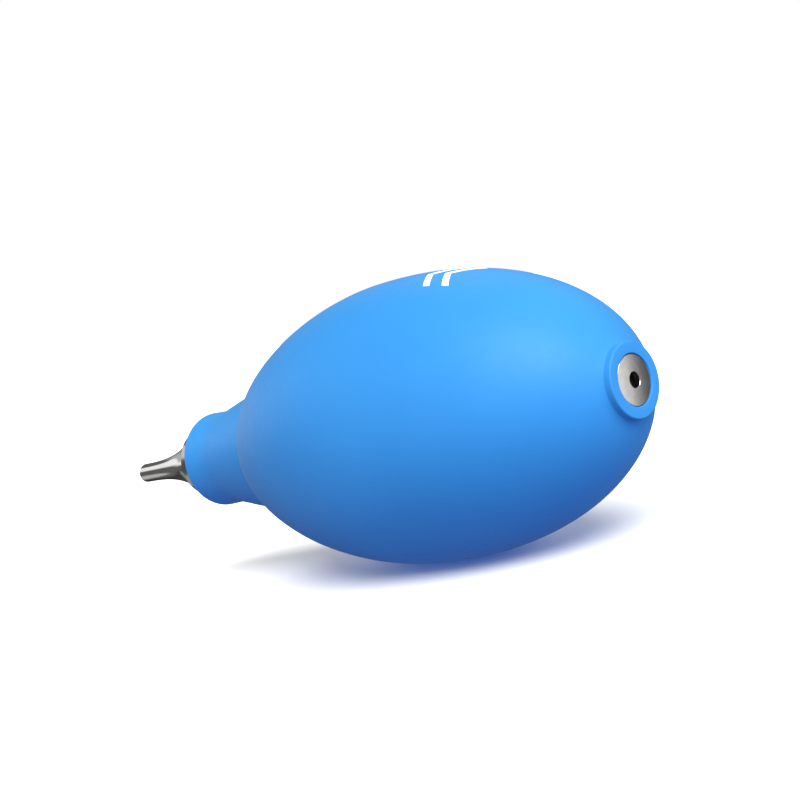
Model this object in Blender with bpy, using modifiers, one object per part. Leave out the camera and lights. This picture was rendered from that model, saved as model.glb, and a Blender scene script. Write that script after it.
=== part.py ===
"""Squeeze bulb air blower lying on its side: nozzle towards -X, air inlet towards +X, +Z up.

Almost every piece is turned about the bulb's axis. Its outline is a list of (station, radius)
pairs, where a station is the distance along the axis from the bulb's widest section, positive
towards the inlet. The outer side of an outline runs from the highest station to the lowest.
"""

import math

import bmesh
import bpy
from mathutils import Matrix

# Bulb: an egg of silicone, blunter at the inlet end than at the neck end.
BULB_RADIUS = 0.025
INLET_HALF_LENGTH = 0.0467
INLET_POWER = 2.19
INLET_ROOT = 2.0
NECK_HALF_LENGTH = 0.0462
NECK_POWER = 1.776
NECK_ROOT = 1.811
WALL = 0.0025
GAP = 0.0003

# Stations along the axis.
RING_FACE = 0.0469
RING_BASE = 0.0457
PLATE_FACE = 0.0468
BOSS_BORE_END = 0.0443
BOSS_ROOT = 0.0415
BOSS_END = 0.0330
EGG_START = 0.0446
INSIDE_INLET_END = 0.0385
INSIDE_NECK_END = -0.0335
NECK_CREASE = -0.0360
CREASE_BOTTOM = -0.0366
NECK_FUNNEL_END = -0.0370
NECK_LIP = -0.0374
NECK_BORE_END = -0.0430
NECK_WAIST = -0.0543
NECK_EDGE = -0.0604
NECK_FACE = -0.0606
COLLAR_END = -0.0656
NOZZLE_TIP = -0.0903

# Radii.
RING_RADIUS = 0.0060
RING_CHAMFER = 0.0002
PLATE_RADIUS = 0.0040
INLET_HOLE_RADIUS = 0.00126
BOSS_RADIUS = 0.0075
BOSS_BORE_RADIUS = 0.0051
NECK_FUNNEL_RADIUS = 0.0098
NECK_BORE_RADIUS = 0.0056
CREASE_RADIUS = 0.01265
LIP_RADIUS = 0.01295
WAIST_RADIUS = 0.0094
NECK_EDGE_RADIUS = 0.00965
NECK_FACE_RADIUS = 0.00945
COLLAR_RADIUS = 0.0074
COLLAR_END_RADIUS = 0.0072
NOZZLE_BASE_RADIUS = 0.0071
NOZZLE_TIP_RADIUS = 0.00205
NOZZLE_BORE_RADIUS = 0.00115
NOZZLE_SHANK_RADIUS = 0.0023
FLARE_POWER = 2.75
BARB_HEIGHT = 0.0007
SLEEVE_BORE_RADIUS = 0.0034
SPRING_RADIUS = 0.00175
SPRING_WIRE_RADIUS = 0.00015
SPRING_TURNS = 5

# Flexing walls: the oval side areas that fingers press in.
WALL_HALF_LENGTH = 0.027
WALL_HALF_HEIGHT = 0.017

# Where the axis lies: the bulb rests on z = 0 and the length is centred on x = 0.
AXIS_Z = BULB_RADIUS
WIDEST_X = -(RING_FACE + NOZZLE_TIP) / 2

BULB_STEPS = 40
SMALL_STEPS = 32
MERGE = 0.000002
SHARP_ANGLE = math.radians(35)


def clear_scene():
    for item in list(bpy.data.objects):
        bpy.data.objects.remove(item)


def new_collection(name):
    collection = bpy.data.collections.new(name)
    bpy.context.scene.collection.children.link(collection)
    return collection


def make_material(name, colour, roughness, metallic=0.0):
    material = bpy.data.materials.new(name)
    material.use_nodes = True
    shader = material.node_tree.nodes["Principled BSDF"]
    shader.inputs["Base Color"].default_value = (*colour, 1.0)
    shader.inputs["Roughness"].default_value = roughness
    shader.inputs["Metallic"].default_value = metallic
    return material


def place(mesh, name, material, collection):
    """Adds a mesh whose local Z is the bulb's axis, turned so that the axis lies along +X."""
    item = bpy.data.objects.new(name, mesh)
    item.location = (WIDEST_X, 0, AXIS_Z)
    item.rotation_euler = (0, math.pi / 2, 0)
    collection.objects.link(item)
    if material:
        mesh.materials.clear()
        mesh.materials.append(material)
    mesh.shade_smooth()
    mesh.set_sharp_from_angle(angle=SHARP_ANGLE)
    return item


def turned_mesh(name, outline, steps, closed=True):
    """Turns an outline with a Screw modifier. An open outline starts and ends on the axis."""
    edges = [(i, i + 1) for i in range(len(outline) - 1)]
    if closed:
        edges.append((len(outline) - 1, 0))
    mesh = bpy.data.meshes.new(name)
    mesh.from_pydata([(radius, 0, station) for station, radius in outline], edges, [])
    item = bpy.data.objects.new(name, mesh)
    bpy.context.scene.collection.objects.link(item)
    screw = item.modifiers.new("turn", "SCREW")
    screw.axis = "Z"
    screw.angle = 2 * math.pi
    screw.steps = steps
    screw.render_steps = steps
    screw.use_merge_vertices = True
    screw.merge_threshold = MERGE
    graph = bpy.context.evaluated_depsgraph_get()
    solid = bpy.data.meshes.new_from_object(item.evaluated_get(graph))
    solid.name = name
    bpy.data.objects.remove(item)
    return solid


def turned(name, outline, material, collection, steps=SMALL_STEPS, closed=True):
    return place(turned_mesh(name, outline, steps, closed), name, material, collection)


def spread(start, end, count):
    """Evenly spaced values from start to end, both included."""
    return [start + (end - start) * i / (count - 1) for i in range(count)]


def egg_radius(station):
    if station >= 0:
        share = (station / INLET_HALF_LENGTH) ** INLET_POWER
        return BULB_RADIUS * (1 - share) ** (1 / INLET_ROOT)
    share = (-station / NECK_HALF_LENGTH) ** NECK_POWER
    return BULB_RADIUS * (1 - share) ** (1 / NECK_ROOT)


def egg_points(start, end, count, inset=0.0):
    """Points on the egg, or inside it by inset, closer together where it curves most."""
    points = []
    for angle in spread(math.asin(start / INLET_HALF_LENGTH), math.asin(end / INLET_HALF_LENGTH), count):
        station = INLET_HALF_LENGTH * math.sin(angle)
        points.append((station, egg_radius(station) - inset))
    return points


def bulb_outline():
    bore = PLATE_RADIUS + GAP
    ring = [
        (RING_FACE, bore),
        (RING_FACE, RING_RADIUS - RING_CHAMFER),
        (RING_FACE - RING_CHAMFER, RING_RADIUS),
        (RING_BASE, RING_RADIUS),
    ]
    neck = [
        (CREASE_BOTTOM, CREASE_RADIUS),
        (NECK_LIP, LIP_RADIUS),
        (NECK_WAIST, WAIST_RADIUS),
        (NECK_EDGE, NECK_EDGE_RADIUS),
        (NECK_FACE, NECK_FACE_RADIUS),
    ]
    neck_bore = [
        (NECK_FACE, NECK_BORE_RADIUS),
        (NECK_BORE_END, NECK_BORE_RADIUS),
        (NECK_FUNNEL_END, NECK_FUNNEL_RADIUS),
    ]
    boss = [
        (BOSS_ROOT, BOSS_RADIUS),
        (BOSS_END, BOSS_RADIUS),
        (BOSS_END, BOSS_BORE_RADIUS),
        (BOSS_BORE_END, BOSS_BORE_RADIUS),
        (BOSS_BORE_END, bore),
    ]
    egg = egg_points(EGG_START, 0, 12) + egg_points(0, NECK_CREASE, 12)[1:]
    inside = egg_points(INSIDE_NECK_END, INSIDE_INLET_END, 15, WALL)
    return ring + egg + neck + neck_bore + inside + boss


def oval_cutter(name, half_length, half_height, low_y, high_y, collection):
    """An oval bar along Y through the bulb's widest section."""
    mesh = bpy.data.meshes.new(name)
    work = bmesh.new()
    bmesh.ops.create_cone(work, cap_ends=True, segments=40, radius1=1, radius2=1, depth=high_y - low_y)
    work.transform(Matrix.Rotation(math.pi / 2, 4, "X"))
    work.transform(Matrix.Diagonal((half_length, 1, half_height, 1)))
    work.to_mesh(mesh)
    work.free()
    cutter = bpy.data.objects.new(name, mesh)
    cutter.location = (WIDEST_X, (low_y + high_y) / 2, AXIS_Z)
    cutter.hide_render = True
    cutter.display_type = "WIRE"
    collection.objects.link(cutter)
    return cutter


def cut(item, cutter, operation):
    modifier = item.modifiers.new(cutter.name, "BOOLEAN")
    modifier.operation = operation
    modifier.solver = "EXACT"
    modifier.object = cutter


def barbs(start, end, count, root_radius):
    """Saw-tooth barbs from a high station to a low one: a ramp up, then a square step down."""
    length = (start - end) / count
    points = []
    for i in range(count):
        points.append((start - i * length, root_radius))
        points.append((start - (i + 0.8) * length, root_radius + BARB_HEIGHT))
        points.append((start - (i + 0.8) * length - 0.0001, root_radius))
    return points


def trumpet_points(count):
    """The nozzle's outer side, which narrows steeply at its base and then runs almost straight."""
    start = COLLAR_END - GAP
    points = []
    for share in spread(0, 1, count):
        station = start + (NOZZLE_TIP - start) * share
        flare = (NOZZLE_BASE_RADIUS - NOZZLE_TIP_RADIUS) * (1 - share) ** FLARE_POWER
        points.append((station, NOZZLE_TIP_RADIUS + flare))
    return points


def make_bulb(parts, cutters, silicone):
    """One moulding in three pieces: the body, and the two walls cut from its sides."""
    outline = bulb_outline()
    body = turned("bulb_body", outline, silicone, parts, BULB_STEPS)
    reach = 2 * BULB_RADIUS
    window = oval_cutter(
        "window_cutter", WALL_HALF_LENGTH + GAP, WALL_HALF_HEIGHT + GAP, -reach, reach, cutters
    )
    cut(body, window, "DIFFERENCE")
    inner_side = 0.008  # clear of the axis, so that each bar meets one wall only
    for side, low_y, high_y in (("left", -reach, -inner_side), ("right", inner_side, reach)):
        wall = turned("bulb_wall_" + side, outline, silicone, parts, BULB_STEPS)
        keeper = oval_cutter(
            "wall_cutter_" + side, WALL_HALF_LENGTH, WALL_HALF_HEIGHT, low_y, high_y, cutters
        )
        cut(wall, keeper, "INTERSECT")


def make_neck_insert(parts, steel):
    """A barbed steel bush in the neck, threaded inside, with a round collar that meets the nozzle."""
    back_end = -0.0435
    barbs_end = -0.0595
    thread_end = -0.0560
    collar_back = NECK_FACE - GAP
    shank_radius = 0.0045
    airway_radius = 0.0015
    thread_radius = NOZZLE_SHANK_RADIUS + GAP
    seal_seat_radius = NOZZLE_SHANK_RADIUS + 0.0016
    seal_seat = COLLAR_END + 0.0015
    outer = barbs(back_end, barbs_end, 4, shank_radius) + [
        (collar_back, shank_radius),
        (collar_back, COLLAR_RADIUS),
        (COLLAR_END, COLLAR_END_RADIUS),
    ]
    inner = [
        (COLLAR_END, seal_seat_radius),
        (seal_seat, seal_seat_radius),
        (seal_seat, thread_radius),
        (thread_end, thread_radius),
        (thread_end, airway_radius),
        (back_end, airway_radius),
    ]
    turned("neck_insert", outer + inner, steel, parts)


def make_nozzle(parts, steel, rubber):
    shank_end = -0.0570
    lead_in = 0.0003
    shank = [
        (shank_end, NOZZLE_SHANK_RADIUS - lead_in),
        (shank_end - lead_in, NOZZLE_SHANK_RADIUS),
        (COLLAR_END - GAP, NOZZLE_SHANK_RADIUS),
    ]
    bore = [
        (NOZZLE_TIP, NOZZLE_BORE_RADIUS),
        (shank_end, NOZZLE_BORE_RADIUS),
    ]
    turned("nozzle", shank + trumpet_points(16) + bore, steel, parts)
    seal_middle = COLLAR_END + 0.0007
    seal_radius = 0.0031
    seal_thickness = 0.0005
    section = []
    for angle in spread(0, 2 * math.pi, 13)[:-1]:
        section.append(
            (
                seal_middle + seal_thickness * math.cos(angle),
                seal_radius + seal_thickness * math.sin(angle),
            )
        )
    turned("nozzle_seal", section, rubber, parts)


def make_inlet(parts, plate_steel, plastic, foam):
    """The disc round the air hole, and behind it the valve's barbed sleeve with the filter in front."""
    plate_back = 0.0458
    chamfer = 0.00012
    plate = [
        (PLATE_FACE, PLATE_RADIUS - chamfer),
        (PLATE_FACE - chamfer, PLATE_RADIUS),
        (plate_back, PLATE_RADIUS),
        (plate_back, INLET_HOLE_RADIUS),
        (PLATE_FACE - chamfer, INLET_HOLE_RADIUS),
        (PLATE_FACE, INLET_HOLE_RADIUS + chamfer),
    ]
    turned("inlet_plate", plate, plate_steel, parts)
    sleeve_front = plate_back - GAP
    sleeve_end = BOSS_END - 0.0005
    sleeve_radius = 0.0041
    neck_end = 0.0440
    seat_front = 0.0435
    seat_back = 0.0424
    seat_radius = 0.0015
    filter_bore = 0.0032
    filter_front = 0.0452
    sleeve = (
        [(sleeve_front, PLATE_RADIUS), (neck_end, PLATE_RADIUS)]
        + barbs(neck_end - 0.0001, sleeve_end + GAP, 3, sleeve_radius)
        + [
            (sleeve_end, sleeve_radius),
            (sleeve_end, SLEEVE_BORE_RADIUS),
            (seat_back, SLEEVE_BORE_RADIUS),
            (seat_back, seat_radius),
            (seat_front, seat_radius),
            (seat_front, filter_bore),
            (sleeve_front, filter_bore),
        ]
    )
    turned("valve_body", sleeve, plastic, parts)
    filter_disc = [
        (filter_front, 0),
        (filter_front, filter_bore - GAP),
        (seat_front + GAP, filter_bore - GAP),
        (seat_front + GAP, 0),
    ]
    turned("dust_filter", filter_disc, foam, parts, closed=False)
    return seat_back


def make_valve(parts, cutters, seat_back, rubber, spring_steel, plastic):
    """The disc that closes the seat, and the cage behind it that holds the spring."""
    disc_front = seat_back - GAP
    disc_back = disc_front - 0.0010
    boss_back = disc_back - 0.0007
    disc_radius = 0.0024
    boss_radius = 0.0012
    disc = [
        (disc_front, 0),
        (disc_front, disc_radius),
        (disc_back, disc_radius),
        (disc_back, boss_radius),
        (boss_back, boss_radius),
        (boss_back, 0),
    ]
    turned("valve_disc", disc, rubber, parts, closed=False)
    cage_front = 0.0352
    cage_back = 0.0340
    cage_radius = SLEEVE_BORE_RADIUS - GAP
    cage = [
        (cage_front, 0),
        (cage_front, cage_radius),
        (cage_back, cage_radius),
        (cage_back, 0),
    ]
    cage_item = turned("valve_cage", cage, plastic, parts, closed=False)
    cut(cage_item, cage_holes((cage_front + cage_back) / 2, cutters), "DIFFERENCE")
    make_spring(parts, cage_front, disc_back, spring_steel)


def cage_holes(station, cutters):
    """Four bars along the axis, for the air holes."""
    hole_radius = 0.0008
    circle_radius = 0.00195
    mesh = bpy.data.meshes.new("cage_holes")
    work = bmesh.new()
    for i in range(4):
        angle = math.pi / 4 + i * math.pi / 2
        offset = (circle_radius * math.cos(angle), circle_radius * math.sin(angle), station)
        bmesh.ops.create_cone(
            work,
            cap_ends=True,
            segments=12,
            radius1=hole_radius,
            radius2=hole_radius,
            depth=0.003,
            matrix=Matrix.Translation(offset),
        )
    work.to_mesh(mesh)
    work.free()
    cutter = place(mesh, "cage_holes", None, cutters)
    cutter.hide_render = True
    cutter.display_type = "WIRE"
    return cutter


def make_spring(parts, cage_front, disc_back, spring_steel):
    low = cage_front + GAP + SPRING_WIRE_RADIUS
    high = disc_back - GAP - SPRING_WIRE_RADIUS
    per_turn = 12
    count = SPRING_TURNS * per_turn + 1
    curve = bpy.data.curves.new("valve_spring", "CURVE")
    curve.dimensions = "3D"
    curve.bevel_depth = SPRING_WIRE_RADIUS
    curve.bevel_resolution = 1
    curve.use_fill_caps = True
    line = curve.splines.new("POLY")
    line.points.add(count - 1)
    for i, station in enumerate(spread(low, high, count)):
        angle = 2 * math.pi * i / per_turn
        line.points[i].co = (
            SPRING_RADIUS * math.cos(angle),
            SPRING_RADIUS * math.sin(angle),
            station,
            1,
        )
    curve.materials.append(spring_steel)
    spring = bpy.data.objects.new("valve_spring", curve)
    spring.location = (WIDEST_X, 0, AXIS_Z)
    spring.rotation_euler = (0, math.pi / 2, 0)
    parts.objects.link(spring)


def main():
    clear_scene()
    parts = new_collection("bulb_air_blower")
    cutters = new_collection("cutters")
    silicone = make_material("blue_silicone", (0.04, 0.26, 0.78), 0.42)
    steel = make_material("polished_steel", (0.62, 0.62, 0.62), 0.15, 1.0)
    plate_steel = make_material("brushed_steel", (0.55, 0.54, 0.53), 0.3, 1.0)
    rubber = make_material("black_rubber", (0.02, 0.02, 0.02), 0.6)
    plastic = make_material("white_plastic", (0.75, 0.75, 0.72), 0.4)
    foam = make_material("dark_filter_foam", (0.04, 0.04, 0.04), 0.9)
    spring_steel = make_material("spring_steel", (0.5, 0.5, 0.5), 0.25, 1.0)
    make_bulb(parts, cutters, silicone)
    make_neck_insert(parts, steel)
    make_nozzle(parts, steel, rubber)
    seat_back = make_inlet(parts, plate_steel, plastic, foam)
    make_valve(parts, cutters, seat_back, rubber, spring_steel, plastic)


main()
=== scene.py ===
"""Looks of the squeeze bulb air blower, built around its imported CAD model.

Turned pieces are drawn as outlines of (station, radius) pairs in metres. A station is the distance
along the bulb's axis from its widest section, positive towards the air inlet, as in the CAD.
"""

import math

import bmesh
import bpy
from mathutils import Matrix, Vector


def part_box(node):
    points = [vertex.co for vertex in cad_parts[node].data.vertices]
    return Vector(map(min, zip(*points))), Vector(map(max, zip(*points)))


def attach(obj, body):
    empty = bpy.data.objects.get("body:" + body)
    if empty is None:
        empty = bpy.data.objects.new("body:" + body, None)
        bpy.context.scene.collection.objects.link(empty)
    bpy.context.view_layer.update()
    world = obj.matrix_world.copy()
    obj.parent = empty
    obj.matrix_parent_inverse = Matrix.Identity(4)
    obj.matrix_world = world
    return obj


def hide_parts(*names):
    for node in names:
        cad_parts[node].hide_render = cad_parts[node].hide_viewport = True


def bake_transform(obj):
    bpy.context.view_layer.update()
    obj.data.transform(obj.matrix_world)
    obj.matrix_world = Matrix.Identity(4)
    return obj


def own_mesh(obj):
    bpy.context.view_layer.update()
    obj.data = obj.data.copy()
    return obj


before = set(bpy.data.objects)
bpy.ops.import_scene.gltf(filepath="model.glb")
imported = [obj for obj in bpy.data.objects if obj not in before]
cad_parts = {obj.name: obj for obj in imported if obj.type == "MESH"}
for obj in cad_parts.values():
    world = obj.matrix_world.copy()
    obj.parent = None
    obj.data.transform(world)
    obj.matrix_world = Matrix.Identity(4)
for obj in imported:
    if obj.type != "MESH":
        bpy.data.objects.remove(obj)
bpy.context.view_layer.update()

MM = 0.001

# The inlet ring's end face, as in the CAD. The rest of this group is read from the frame.
RING_FACE = 46.9 * MM
AXIS_Z = (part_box("nozzle")[0].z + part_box("nozzle")[1].z) / 2
WIDEST_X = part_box("bulb_body")[1].x - RING_FACE
NOZZLE_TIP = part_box("nozzle")[0].x - WIDEST_X
COLLAR_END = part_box("neck_insert")[0].x - WIDEST_X
PLATE_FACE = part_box("inlet_plate")[1].x - WIDEST_X
PLATE_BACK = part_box("inlet_plate")[0].x - WIDEST_X
PLATE_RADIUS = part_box("inlet_plate")[1].z - AXIS_Z
NOZZLE_BASE_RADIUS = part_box("nozzle")[1].z - AXIS_Z
SEAL_MIDDLE = (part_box("nozzle_seal")[0].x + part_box("nozzle_seal")[1].x) / 2 - WIDEST_X

# The egg's two halves and the silicone's wall, as in the CAD. From the widest section, where share
# is 0, to the half's end, where it is 1, the radius falls as (1 - share ** POWER) ** (1 / ROOT).
BULB_RADIUS = 25 * MM
INLET_HALF_LENGTH = 46.7 * MM
INLET_POWER = 2.19
INLET_ROOT = 2.0
NECK_HALF_LENGTH = 46.2 * MM
NECK_POWER = 1.776
NECK_ROOT = 1.811
WALL = 2.5 * MM
NECK_FACE = -60.6 * MM

# The nozzle's air hole, its threaded shank and the fine gap between it and the collar.
AIR_HOLE = 1.15 * MM
THREAD_PITCH = 1.0 * MM
THREAD_CREST = 2.5 * MM
THREAD_ROOT = 2.15 * MM
NOZZLE_JOINT = 0.06 * MM

# Steps round the axis for the bulb's half turns and for the steel's full turns.
HALF_STEPS = 128
FULL_STEPS = 160


# ---------------------------------------------------------------- outlines and meshes

def spread(start, end, count):
    """Evenly spaced values from start to end, both included."""
    return [start + (end - start) * i / (count - 1) for i in range(count)]


def rounded(corners, count=5):
    """An outline from (station, radius, fillet) corners, each fillet drawn as an arc of count points."""
    points = []
    last = len(corners) - 1
    for i, (station, radius, fillet) in enumerate(corners):
        here = Vector((station, radius))
        if fillet == 0 or i in (0, last):
            points.append((station, radius))
            continue
        before = (Vector(corners[i - 1][:2]) - here).normalized()
        after = (Vector(corners[i + 1][:2]) - here).normalized()
        half = before.angle(after) / 2
        reach = fillet / math.tan(half)
        middle = here + (before + after).normalized() * (fillet / math.sin(half))
        first = here + before * reach - middle
        final = here + after * reach - middle
        for share in spread(0, 1, count):
            arm = first.lerp(final, share).normalized() * fillet
            points.append(tuple(middle + arm))
    return points


def place(station, radius, angle):
    """A point of a turned piece. Angle 0 is up and a quarter turn is towards +Y."""
    return (WIDEST_X + station, radius * math.sin(angle), AXIS_Z + radius * math.cos(angle))


def new_piece(name, vertices, faces):
    """A smooth-shaded object from points and faces, welded, with its faces pointing out."""
    mesh = bpy.data.meshes.new(name)
    mesh.from_pydata(vertices, [], faces)
    work = bmesh.new()
    work.from_mesh(mesh)
    bmesh.ops.remove_doubles(work, verts=work.verts, dist=1e-7)
    bmesh.ops.recalc_face_normals(work, faces=work.faces)
    work.to_mesh(mesh)
    work.free()
    mesh.shade_smooth()
    piece = bpy.data.objects.new(name, mesh)
    bpy.context.scene.collection.objects.link(piece)
    return piece


def turned(name, outline, steps=FULL_STEPS, low=0.0, high=2 * math.pi):
    """Turns a closed outline from one angle to another. A part turn has a flat face at each end."""
    whole = math.isclose(high - low, 2 * math.pi)
    angles = spread(low, high, steps + 1)
    if whole:
        angles = angles[:-1]
    size = len(outline)
    vertices = [place(station, radius, angle) for angle in angles for station, radius in outline]
    faces = []
    for j in range(steps):
        here = j * size
        there = (j + 1) % len(angles) * size
        for i in range(size):
            k = (i + 1) % size
            faces.append((here + i, here + k, there + k, there + i))
    if not whole:
        faces.append(tuple(range(size)))
        faces.append(tuple(range(steps * size, steps * size + size)))
    return new_piece(name, vertices, faces)


def weight_normals(piece, angle=30):
    """Flat faces stay flat to the eye beside their small fillets."""
    piece.data.set_sharp_from_angle(angle=math.radians(angle))
    modifier = piece.modifiers.new("weighted normals", "WEIGHTED_NORMAL")
    modifier.keep_sharp = True
    modifier.weight = 80


def egg_radius(station):
    """The egg's outer radius at a station."""
    if station >= 0:
        share = (station / INLET_HALF_LENGTH) ** INLET_POWER
        return BULB_RADIUS * (1 - share) ** (1 / INLET_ROOT)
    share = (-station / NECK_HALF_LENGTH) ** NECK_POWER
    return BULB_RADIUS * (1 - share) ** (1 / NECK_ROOT)


def egg_points(start, end, count, inset=0.0):
    """Points on the egg, or inside it by inset, closer together where it curves most."""
    points = []
    for angle in spread(math.asin(start / INLET_HALF_LENGTH), math.asin(end / INLET_HALF_LENGTH), count):
        station = INLET_HALF_LENGTH * math.sin(angle)
        points.append((station, egg_radius(station) - inset))
    return points


# ---------------------------------------------------------------- material building

class Nodes:
    """A short way to write a node tree."""

    def __init__(self, name):
        self.material = bpy.data.materials.new(name)
        self.material.use_nodes = True
        self.tree = self.material.node_tree
        self.shader = self.tree.nodes["Principled BSDF"]
        self.place = self.add("ShaderNodeTexCoord").outputs["Object"]

    def add(self, kind, **values):
        """A new node with the given properties."""
        node = self.tree.nodes.new(kind)
        for key, value in values.items():
            setattr(node, key, value)
        return node

    def link(self, output, target):
        self.tree.links.new(output, target)

    def set(self, **values):
        """Sets the shader's own sockets, written with underscores for spaces."""
        for key, value in values.items():
            self.shader.inputs[key.replace("_", " ")].default_value = value

    def noise(self, scale, detail=3.0, stretch=None):
        """Noise of about 1/scale metres, stretched by a factor for each axis."""
        source = self.place
        if stretch:
            mapping = self.add("ShaderNodeMapping")
            mapping.inputs["Scale"].default_value = stretch
            self.link(source, mapping.inputs["Vector"])
            source = mapping.outputs["Vector"]
        node = self.add("ShaderNodeTexNoise")
        node.inputs["Scale"].default_value = scale
        node.inputs["Detail"].default_value = detail
        self.link(source, node.inputs["Vector"])
        return node.outputs["Fac"]

    def ramp(self, value, low, high):
        """Maps noise, which stays near its middle, to the range from low to high."""
        node = self.add("ShaderNodeMapRange")
        node.inputs["From Min"].default_value = 0.3
        node.inputs["From Max"].default_value = 0.7
        node.inputs["To Min"].default_value = low
        node.inputs["To Max"].default_value = high
        self.link(value, node.inputs["Value"])
        return node.outputs["Result"]

    def tint(self, value, first, second):
        """A colour between two, chosen by a value."""
        node = self.add("ShaderNodeMix", data_type="RGBA")
        self.link(self.ramp(value, 0, 1), node.inputs["Factor"])
        node.inputs["A"].default_value = (*first, 1)
        node.inputs["B"].default_value = (*second, 1)
        self.link(node.outputs["Result"], self.shader.inputs["Base Color"])

    def bump(self, value, strength, distance):
        """Adds relief on top of any relief that is there."""
        node = self.add("ShaderNodeBump")
        node.inputs["Strength"].default_value = strength
        node.inputs["Distance"].default_value = distance
        self.link(value, node.inputs["Height"])
        if self.shader.inputs["Normal"].is_linked:
            self.link(self.shader.inputs["Normal"].links[0].from_socket, node.inputs["Normal"])
        self.link(node.outputs["Normal"], self.shader.inputs["Normal"])

    def rough(self, value, low, high):
        self.link(self.ramp(value, low, high), self.shader.inputs["Roughness"])


def silicone_material():
    """Moulded silicone: even, satin, with a faint cloudiness and a fine matt grain."""
    nodes = Nodes("blue_silicone")
    nodes.tint(nodes.noise(60), (0.020, 0.168, 0.420), (0.022, 0.178, 0.438))
    nodes.rough(nodes.noise(900), 0.44, 0.52)
    nodes.bump(nodes.noise(5200, 2.0), 0.10, 0.00004)
    nodes.set(
        Specular_IOR_Level=0.14,
        Sheen_Weight=0.06,
        Sheen_Roughness=0.35,
        Sheen_Tint=(0.75, 0.85, 1.0, 1.0),
    )
    return nodes.material


def print_material():
    """White pad print on silicone."""
    nodes = Nodes("white_print")
    nodes.tint(nodes.noise(2500), (0.86, 0.87, 0.88), (0.93, 0.93, 0.93))
    nodes.rough(nodes.noise(1800), 0.38, 0.5)
    return nodes.material


def steel_material(name, tone, low, high, ring_strength):
    """Turned steel: fine rings round the axis, and slight variation in the polish."""
    nodes = Nodes(name)
    nodes.tint(nodes.noise(400), tone, tuple(0.93 * value for value in tone))
    rings = nodes.noise(3000, 2.0, (1.0, 0.02, 0.02))
    nodes.rough(rings, low, high)
    nodes.bump(rings, ring_strength, 0.00002)
    nodes.set(Metallic=1.0)
    return nodes.material


def plate_material():
    """Faced steel: concentric rings left by the tool on a flat disc."""
    nodes = Nodes("faced_steel")
    nodes.tint(nodes.noise(900), (0.60, 0.585, 0.57), (0.52, 0.51, 0.50))
    split = nodes.add("ShaderNodeSeparateXYZ")
    nodes.link(nodes.place, split.inputs["Vector"])
    height = nodes.add("ShaderNodeMath", operation="SUBTRACT")
    height.inputs[1].default_value = AXIS_Z
    nodes.link(split.outputs["Z"], height.inputs[0])
    join = nodes.add("ShaderNodeCombineXYZ")
    nodes.link(split.outputs["Y"], join.inputs["X"])
    nodes.link(height.outputs["Value"], join.inputs["Y"])
    length = nodes.add("ShaderNodeVectorMath", operation="LENGTH")
    nodes.link(join.outputs["Vector"], length.inputs[0])
    rings = nodes.add("ShaderNodeTexNoise", noise_dimensions="1D")
    rings.inputs["Scale"].default_value = 9000
    rings.inputs["Detail"].default_value = 2
    nodes.link(length.outputs["Value"], rings.inputs["W"])
    nodes.rough(rings.outputs["Fac"], 0.13, 0.20)
    nodes.bump(rings.outputs["Fac"], 0.25, 0.00001)
    nodes.set(Metallic=1.0)
    return nodes.material


def rubber_material():
    nodes = Nodes("black_rubber")
    nodes.tint(nodes.noise(700), (0.018, 0.018, 0.019), (0.030, 0.030, 0.031))
    nodes.rough(nodes.noise(1500), 0.48, 0.62)
    nodes.bump(nodes.noise(6000), 0.15, 0.00003)
    return nodes.material


def plastic_material():
    nodes = Nodes("white_plastic")
    nodes.tint(nodes.noise(300), (0.74, 0.74, 0.71), (0.79, 0.79, 0.77))
    nodes.rough(nodes.noise(1200), 0.34, 0.44)
    nodes.bump(nodes.noise(4000), 0.08, 0.00003)
    return nodes.material


def foam_material():
    """Open-cell filter foam in dark grey, with painted shade: the pores are painted near black, and the
    whole foam is kept this dark so that the inlet hole in front of it looks black.
    """
    nodes = Nodes("filter_foam")
    cells = nodes.add("ShaderNodeTexVoronoi", feature="DISTANCE_TO_EDGE")
    cells.inputs["Scale"].default_value = 3800
    nodes.link(nodes.place, cells.inputs["Vector"])
    edge = nodes.add("ShaderNodeMapRange")
    edge.inputs["From Max"].default_value = 0.25
    nodes.link(cells.outputs["Distance"], edge.inputs["Value"])
    # Painted shade: the middles of the cells, the pores, are painted near black (B), and the struts at
    # the cell edges dark grey (A).
    mix = nodes.add("ShaderNodeMix", data_type="RGBA")
    mix.inputs["A"].default_value = (0.020, 0.020, 0.021, 1)
    mix.inputs["B"].default_value = (0.002, 0.002, 0.002, 1)
    nodes.link(edge.outputs["Result"], mix.inputs["Factor"])
    nodes.link(mix.outputs["Result"], nodes.shader.inputs["Base Color"])
    nodes.rough(nodes.noise(2000), 0.85, 0.95)
    nodes.bump(cells.outputs["Distance"], 0.8, 0.0002)
    nodes.set(Specular_IOR_Level=0.1)
    return nodes.material


# ---------------------------------------------------------------- the bulb

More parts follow.
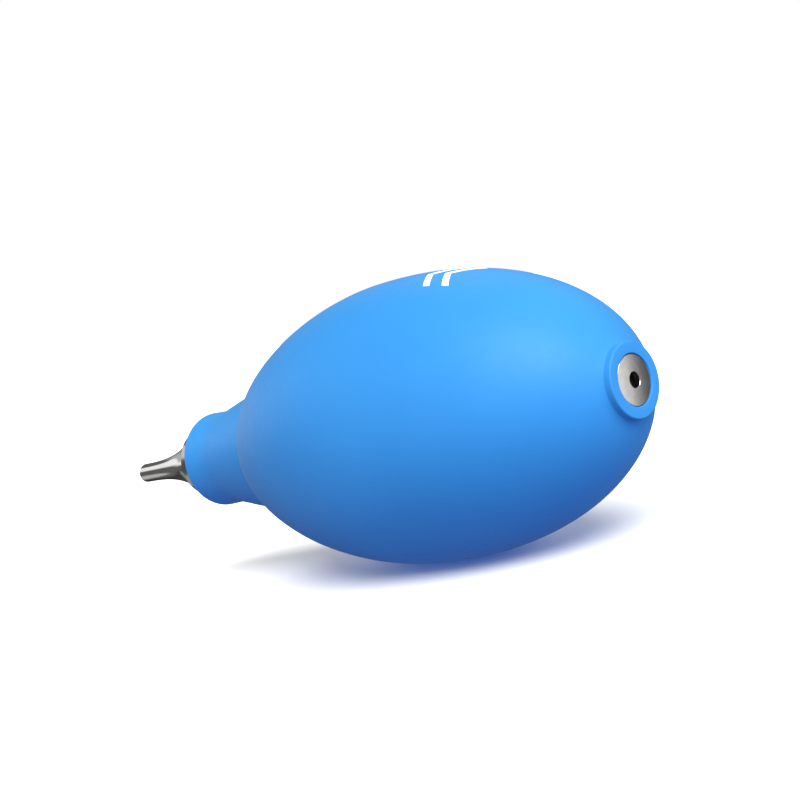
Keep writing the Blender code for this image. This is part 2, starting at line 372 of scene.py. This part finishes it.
def bulb_outline():
    """The moulding's whole section: ring, egg, crease, neck, and the inside back to the ring."""
    bore = PLATE_RADIUS + 0.1 * MM
    bore_floor = 44.0 * MM
    ring_radius = 6.0 * MM
    ring_back = 45.62 * MM
    ring_foot = 45.05 * MM
    ring = rounded(
        [
            (bore_floor, bore, 0),
            (RING_FACE, bore, 0.12 * MM),
            (RING_FACE, ring_radius, 0.25 * MM),
            (ring_back, ring_radius, 0.25 * MM),
            (ring_foot, egg_radius(ring_foot), 0),
        ],
        6,
    )
    egg_end = -35.2 * MM
    crease_lip = -36.15 * MM
    neck_bore = 5.6 * MM
    neck = rounded(
        [
            (egg_end, egg_radius(egg_end), 0),
            (crease_lip, egg_radius(crease_lip), 0.5 * MM),
            (-36.75 * MM, 12.62 * MM, 0.12 * MM),
            (-37.4 * MM, 12.98 * MM, 0.3 * MM),
            (-54.3 * MM, 9.4 * MM, 20.0 * MM),
            (NECK_FACE, 9.68 * MM, 0.2 * MM),
            (NECK_FACE, neck_bore, 0),
        ],
        12,
    )
    neck_inside = [(-43.0 * MM, neck_bore), (-37.0 * MM, 9.8 * MM)]
    boss_radius = 7.5 * MM
    boss_end = 33.0 * MM
    valve_bore = 5.1 * MM
    boss = [
        (41.5 * MM, boss_radius),
        (boss_end, boss_radius),
        (boss_end, valve_bore),
        (bore_floor, valve_bore),
    ]
    egg = egg_points(44.7 * MM, -35.0 * MM, 110)
    inside = egg_points(-33.5 * MM, 38.5 * MM, 50, WALL)
    return ring + egg + neck + neck_inside + inside + boss


def even_seam(piece):
    """Where the two halves meet, both take the smooth surface's own normal, so that no seam shows."""
    mesh = piece.data
    normals = [Vector(corner.vector) for corner in mesh.corner_normals]
    for polygon in mesh.polygons:
        is_flat_end = len(polygon.vertices) > 4
        if is_flat_end:
            continue
        for corner in polygon.loop_indices:
            if abs(mesh.vertices[mesh.loops[corner].vertex_index].co.y) < 1e-6:
                normals[corner].y = 0
                normals[corner].normalize()
    mesh.normals_split_custom_set(normals)


def make_bulb():
    """The moulding as two halves that close into one skin, drawn at rest."""
    silicone = silicone_material()
    outline = bulb_outline()
    for side, turn in (("right", 0.0), ("left", math.pi)):
        half = turned("bulb_half_" + side, outline, HALF_STEPS, turn, turn + math.pi)
        half.data.set_sharp_from_angle(angle=math.radians(32))
        even_seam(half)
        half.data.materials.append(silicone)
        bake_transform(half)
        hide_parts("bulb_body", "bulb_wall_" + side)


def make_print():
    """Two plain chevrons on the top, pointing the way the air blows."""
    ink = print_material()
    middle_angle = math.radians(-6)
    arm_angle = math.radians(13)
    arm_length = 3.2 * MM
    stroke = 1.3 * MM
    proud = 0.04 * MM
    sunk = -0.05 * MM
    shares = spread(-1, 1, 41)
    for i in range(2):
        tip = (13.6 + 3.8 * i) * MM
        vertices = []
        for share in shares:
            back = tip + abs(share) * arm_length
            angle = middle_angle + share * arm_angle
            for station, lift in (
                (back, proud),
                (back + stroke, proud),
                (back + stroke, sunk),
                (back, sunk),
            ):
                vertices.append(place(station, egg_radius(station) + lift, angle))
        faces = [(0, 1, 2, 3)]
        for j in range(len(shares) - 1):
            for k in range(4):
                side = (k + 1) % 4
                faces.append((4 * j + k, 4 * j + side, 4 * j + 4 + side, 4 * j + 4 + k))
        end = 4 * (len(shares) - 1)
        faces.append((end, end + 1, end + 2, end + 3))
        mark = new_piece(f"print_chevron_{i + 1}", vertices, faces)
        mark.data.set_sharp_from_angle(angle=math.radians(40))
        mark.data.materials.append(ink)
        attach(mark, "bulb")


# ---------------------------------------------------------------- the metal front end

def thread(start, end, steps):
    """A helical thread's side as a grid, with a run-out at each end, from a high station to a low one."""
    rows_per_turn = 12
    run_out = 0.6 * THREAD_PITCH
    rows = int((start - end) / THREAD_PITCH * rows_per_turn)
    vertices = []
    for station in spread(start, end, rows):
        near_end = min(start - station, station - end) / run_out
        depth = (THREAD_CREST - THREAD_ROOT) * min(1.0, near_end)
        for j in range(steps):
            phase = (station / THREAD_PITCH + j / steps) % 1.0
            wave = abs(2 * phase - 1)
            vertices.append(place(station, THREAD_CREST - depth * wave, 2 * math.pi * j / steps))
    faces = []
    for i in range(rows - 1):
        for j in range(steps):
            k = (j + 1) % steps
            faces.append((i * steps + j, i * steps + k, (i + 1) * steps + k, (i + 1) * steps + j))
    return vertices, faces


def make_neck_insert():
    """The steel bush: four barbs in the neck, and a collar that stands in front of the neck's face."""
    steel = steel_material("turned_steel", (0.44, 0.435, 0.43), 0.14, 0.24, 0.35)
    back = -43.5 * MM
    shank = 4.5 * MM
    barb = 0.9 * MM
    barb_length = 4.0 * MM
    collar_back = NECK_FACE - 0.08 * MM
    seal_pocket = 3.9 * MM
    pocket_floor = COLLAR_END + 1.5 * MM
    threaded_bore = 2.6 * MM
    thread_end = -56.0 * MM
    air_bore = 1.5 * MM
    outline = [(back, air_bore)]
    for i in range(4):
        foot = back - i * barb_length
        crest = back - (i + 0.8) * barb_length
        outline.append((foot, shank))
        outline.append((crest, shank + barb))
        outline.append((crest - 0.1 * MM, shank))
    outline += rounded(
        [
            (-60.0 * MM, shank, 0),
            (collar_back, shank, 0),
            (collar_back, 7.42 * MM, 0.15 * MM),
            (COLLAR_END, NOZZLE_BASE_RADIUS + 0.15 * MM, 0.12 * MM),
            (COLLAR_END, seal_pocket, 0.1 * MM),
            (pocket_floor, seal_pocket, 0),
            (pocket_floor, threaded_bore, 0.1 * MM),
            (thread_end, threaded_bore, 0),
            (thread_end, air_bore, 0),
        ]
    )
    piece = turned("neck_collar", outline)
    weight_normals(piece)
    piece.data.materials.append(steel)
    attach(piece, "bulb")
    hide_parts("neck_insert")


def trumpet(count):
    """The nozzle's outer side, which narrows steeply at its base and then runs almost straight."""
    flare_power = 2.75
    tip_radius = 2.05 * MM
    start = COLLAR_END - NOZZLE_JOINT
    points = []
    for share in spread(0, 1, count):
        station = start + (NOZZLE_TIP - start) * share
        flare = (NOZZLE_BASE_RADIUS - tip_radius) * (1 - share) ** flare_power
        points.append((station, tip_radius + flare))
    return points


def make_nozzle():
    """The trumpet with its shank and air hole. Its edges are rounded up to the points beside them."""
    steel = steel_material("polished_steel", (0.68, 0.67, 0.66), 0.10, 0.18, 0.25)
    shank_end = -57.0 * MM
    shank = 2.1 * MM
    side = trumpet(60)
    base = side[0]
    beside_base = side[3]
    between = side[4:-3]
    beside_tip = side[-3]
    tip = side[-1]
    outline = rounded(
        [
            (shank_end, AIR_HOLE, 0),
            (shank_end, shank, 0.1 * MM),
            (base[0], shank, 0),
            (*base, 0.06 * MM),
            (*beside_base, 0),
        ],
        6,
    )
    outline += between
    outline += rounded(
        [
            (*beside_tip, 0),
            (*tip, 0.15 * MM),
            (tip[0], AIR_HOLE, 0.12 * MM),
            (tip[0] + 1.5 * MM, AIR_HOLE, 0),
        ],
        6,
    )
    piece = turned("nozzle_tube", outline)
    weight_normals(piece)
    piece.data.materials.append(steel)
    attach(piece, "nozzle")
    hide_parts("nozzle")
    return steel


def make_nozzle_thread(steel):
    """The screwed part of the nozzle's shank, as a threaded sleeve on the shank's core."""
    core = 2.0 * MM
    start = -57.6 * MM
    end = COLLAR_END + 1.6 * MM
    steps = 64
    vertices, faces = thread(start, end, steps)
    first = len(vertices)
    outer = first - steps
    for station in (start, end):
        for j in range(steps):
            vertices.append(place(station, core, 2 * math.pi * j / steps))
    for j in range(steps):
        k = (j + 1) % steps
        faces.append((first + j, first + k, k, j))
        faces.append((outer + j, outer + k, first + steps + k, first + steps + j))
        faces.append((first + steps + j, first + steps + k, first + k, first + j))
    piece = new_piece("nozzle_thread", vertices, faces)
    piece.data.set_sharp_from_angle(angle=math.radians(35))
    piece.data.materials.append(steel)
    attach(piece, "nozzle")


def make_seal():
    """The O-ring, turned from a round section."""
    ring = 3.1 * MM
    cord = 0.5 * MM
    section = []
    for angle in spread(0, 2 * math.pi, 33)[:-1]:
        section.append((SEAL_MIDDLE + cord * math.cos(angle), ring + cord * math.sin(angle)))
    piece = turned("nozzle_o_ring", section, 96)
    piece.data.materials.append(rubber_material())
    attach(piece, "seal")
    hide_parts("nozzle_seal")


# ---------------------------------------------------------------- the air inlet

def make_inlet_plate():
    """A faced disc, slightly crowned, with a chamfered rim and a finely chamfered hole."""
    hole = 1.26 * MM
    crown = 0.10 * MM
    rim_chamfer = 0.07 * MM
    hole_chamfer = 0.06 * MM
    face = []
    for radius in spread(PLATE_RADIUS - rim_chamfer, hole + hole_chamfer, 14):
        face.append((PLATE_FACE - crown * (radius / PLATE_RADIUS) ** 2, radius))
    rim = face[0]
    lip = face[-1]
    outline = [
        (PLATE_BACK, hole),
        (PLATE_BACK, PLATE_RADIUS),
        (rim[0] - rim_chamfer, PLATE_RADIUS),
    ]
    outline += face
    outline.append((lip[0] - hole_chamfer, hole))
    piece = turned("inlet_disc", outline)
    weight_normals(piece, 25)
    piece.data.materials.append(plate_material())
    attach(piece, "bulb")
    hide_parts("inlet_plate")


def make_valve_spring():
    """The light coil spring behind the valve disc, drawn at rest. The real spring shortens as the disc
    lifts.
    """
    wire = 0.15 * MM
    coil = 1.75 * MM
    turns = 5
    turn_steps = 40
    wire_steps = 12
    low = 35.65 * MM
    high = 40.65 * MM
    rows = turns * turn_steps + 1
    vertices = []
    for i in range(rows):
        station = low + (high - low) * i / (rows - 1)
        turn = 2 * math.pi * i / turn_steps
        for j in range(wire_steps):
            round_wire = 2 * math.pi * j / wire_steps
            radius = coil + wire * math.cos(round_wire)
            vertices.append(place(station + wire * math.sin(round_wire), radius, turn))
    faces = [tuple(range(wire_steps)), tuple(range((rows - 1) * wire_steps, rows * wire_steps))]
    for i in range(rows - 1):
        for j in range(wire_steps):
            k = (j + 1) % wire_steps
            here = i * wire_steps
            faces.append((here + j, here + k, here + wire_steps + k, here + wire_steps + j))
    piece = new_piece("spring_coil", vertices, faces)
    weight_normals(piece, 40)
    piece.data.materials.append(steel_material("spring_wire", (0.55, 0.55, 0.55), 0.2, 0.3, 0.1))
    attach(piece, "bulb")
    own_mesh(piece)
    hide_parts("valve_spring")


def repaint(node, material):
    """A CAD node that keeps its shape takes a finer material."""
    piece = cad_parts[node]
    piece.data.materials.clear()
    piece.data.materials.append(material)


def finish_inner_pieces():
    plastic = plastic_material()
    repaint("valve_body", plastic)
    repaint("valve_cage", plastic)
    repaint("valve_disc", rubber_material())
    repaint("dust_filter", foam_material())


# ---------------------------------------------------------------- stage, light and camera

def make_stage():
    """A pale floor. It is hidden from bounced light, so that it doesn't fill in the underside."""
    mesh = bpy.data.meshes.new("floor")
    size = 25.0
    corners = [(-size, -size, 0), (size, -size, 0), (size, size, 0), (-size, size, 0)]
    mesh.from_pydata(corners, [], [(0, 1, 2, 3)])
    floor = bpy.data.objects.new("floor", mesh)
    bpy.context.scene.collection.objects.link(floor)
    floor.visible_diffuse = False
    floor.visible_glossy = False
    nodes = Nodes("floor")
    nodes.set(Base_Color=(0.88, 0.88, 0.88, 1), Roughness=0.9, Specular_IOR_Level=0.1)
    mesh.materials.append(nodes.material)


# Height is the sine of the angle above the horizon, and compass is in degrees from +X.

# The plain light: its colour at the horizon, below it and overhead, and where each change lies.
HORIZON = (1.0, 1.0, 1.0)
BELOW = (0.50, 0.51, 0.98)
BELOW_HEIGHTS = (-0.20, -0.02)
OVERHEAD = (0.30, 0.30, 0.30)
OVERHEAD_HEIGHTS = (0.44, 0.80)

# What gloss sees behind the cards: a pale studio over a grey floor.
STUDIO_WALL = (0.9, 0.9, 0.9)
STUDIO_FLOOR = (0.35, 0.35, 0.36)
STUDIO_HEIGHTS = (-0.25, 0.10)

# The cards: name, compass range, heights of the lower and of the upper edge at the range's start,
# rise of each edge for each degree of compass, brightness. A later card covers an earlier one.
COMPASS_BLUR = 3.0
HEIGHT_BLUR = 0.05
REFLECTIONS = (
    ("disc card", 15, 51, (-0.60, 0.40), (0, 0), 1.3),
    ("side flag", 54, 142, (-1.0, 0.45), (0, 0), 0.06),
    ("back flag", 142, 226, (-0.70, 0.90), (0, 0), 0.14),
    ("lower flag", 142, 177, (-0.75, -0.09), (0, 0), 0.05),
    ("upper card", 157, 240, (-0.10, 0.10), (0.0075, 0.0145), 1.2),
    ("rim shade", 156, 168, (-0.12, 0.30), (0, 0), 0.45),
    ("floor", 189, 240, (-0.60, -0.22), (0, 0), 0.62),
)


class Studio:
    """The world: plain light for the eye and for matt surfaces, and a set of cards for gloss."""

    def __init__(self):
        world = bpy.data.worlds.new("studio")
        world.use_nodes = True
        bpy.context.scene.world = world
        self.tree = world.node_tree
        self.background = self.tree.nodes["Background"]
        split = self.tree.nodes.new("ShaderNodeSeparateXYZ")
        place = self.tree.nodes.new("ShaderNodeTexCoord")
        self.tree.links.new(place.outputs["Generated"], split.inputs["Vector"])
        self.height = split.outputs["Z"]
        turn = self.math("ARCTAN2", split.outputs["Y"], split.outputs["X"])
        degrees = self.math("MULTIPLY", turn, 180 / math.pi)
        self.compass = self.math("FLOORED_MODULO", degrees, 360.0)

    def math(self, operation, *values):
        """A math node's result. Its inputs are sockets, or numbers written as floats."""
        node = self.tree.nodes.new("ShaderNodeMath")
        node.operation = operation
        for socket, value in zip(node.inputs, values):
            if isinstance(value, float):
                socket.default_value = value
            else:
                self.tree.links.new(value, socket)
        return node.outputs["Value"]

    def step(self, value, low, high):
        """0 below low, 1 above high, and smooth between."""
        node = self.tree.nodes.new("ShaderNodeMapRange")
        node.interpolation_type = "SMOOTHSTEP"
        node.inputs["From Min"].default_value = low
        node.inputs["From Max"].default_value = high
        self.tree.links.new(value, node.inputs["Value"])
        return node.outputs["Result"]

    def blurred(self, value, edge, blur):
        """0 before an edge and 1 past it, blurred by the same distance on both sides."""
        return self.step(value, edge - blur, edge + blur)

    def above(self, along, start, rise):
        """1 above a card's edge and 0 below it. The edge rises steadily along the compass."""
        edge = self.math("MULTIPLY_ADD", along, float(rise), float(start))
        return self.blurred(self.math("SUBTRACT", self.height, edge), 0.0, HEIGHT_BLUR)

    def card(self, left, right, heights, rises):
        """1 on a card and 0 off it."""
        past_left = self.blurred(self.compass, left, COMPASS_BLUR)
        past_right = self.blurred(self.compass, right, COMPASS_BLUR)
        across = self.math("SUBTRACT", past_left, past_right)
        along = self.math("SUBTRACT", self.compass, float(left))
        above_lower = self.above(along, heights[0], rises[0])
        above_upper = self.above(along, heights[1], rises[1])
        return self.math("MULTIPLY", across, self.math("SUBTRACT", above_lower, above_upper))

    def mix(self, factor, first, second):
        """A colour between two, which are sockets or tuples."""
        node = self.tree.nodes.new("ShaderNodeMix")
        node.data_type = "RGBA"
        self.tree.links.new(factor, node.inputs["Factor"])
        for socket, value in ((node.inputs[6], first), (node.inputs[7], second)):
            if isinstance(value, tuple):
                socket.default_value = (*value, 1)
            else:
                self.tree.links.new(value, socket)
        return node.outputs[2]

    def finish(self):
        """Joins the plain light, seen by eye and by matt surfaces, to the cards that gloss sees."""
        plain = self.mix(self.step(self.height, *BELOW_HEIGHTS), BELOW, HORIZON)
        plain = self.mix(self.step(self.height, *OVERHEAD_HEIGHTS), plain, OVERHEAD)
        gloss = self.mix(self.step(self.height, *STUDIO_HEIGHTS), STUDIO_FLOOR, STUDIO_WALL)
        for name, left, right, heights, rises, level in REFLECTIONS:
            card = self.card(left, right, heights, rises)
            gloss = self.mix(card, gloss, (level, level, level))
            gloss.node.label = name
        path = self.tree.nodes.new("ShaderNodeLightPath")
        both = self.mix(path.outputs["Is Glossy Ray"], plain, gloss)
        self.tree.links.new(both, self.background.inputs["Color"])


def make_sun(name, compass, height, strength, spread_angle):
    """A broad light from far off. Compass and height are in degrees, compass from +X."""
    data = bpy.data.lights.new(name, "SUN")
    data.energy = strength
    data.angle = math.radians(spread_angle)
    light = bpy.data.objects.new(name, data)
    light.rotation_euler = (0, math.radians(90 - height), math.radians(compass))
    bpy.context.scene.collection.objects.link(light)


def light_scene():
    Studio().finish()
    make_sun("key", -36, 49, 5.9, 50)
    make_sun("low fill", 12, 9, 1.3, 40)
    bpy.context.scene.view_settings.view_transform = "Standard"


def make_camera():
    """In front of the inlet's end and to its side, a little above the axis, and rolled."""
    data = bpy.data.cameras.new("camera")
    data.sensor_width = 36
    data.lens = 60.23
    camera = bpy.data.objects.new("camera", data)
    camera.location = (190.56 * MM, -162.18 * MM, 44.91 * MM)
    camera.rotation_euler = (math.radians(86.09), math.radians(15.88), math.radians(45.75))
    bpy.context.scene.collection.objects.link(camera)
    bpy.context.scene.camera = camera


make_camera()
make_bulb()
make_print()
make_neck_insert()
make_nozzle_thread(make_nozzle())
make_seal()
make_inlet_plate()
make_valve_spring()
finish_inner_pieces()
make_stage()
light_scene()
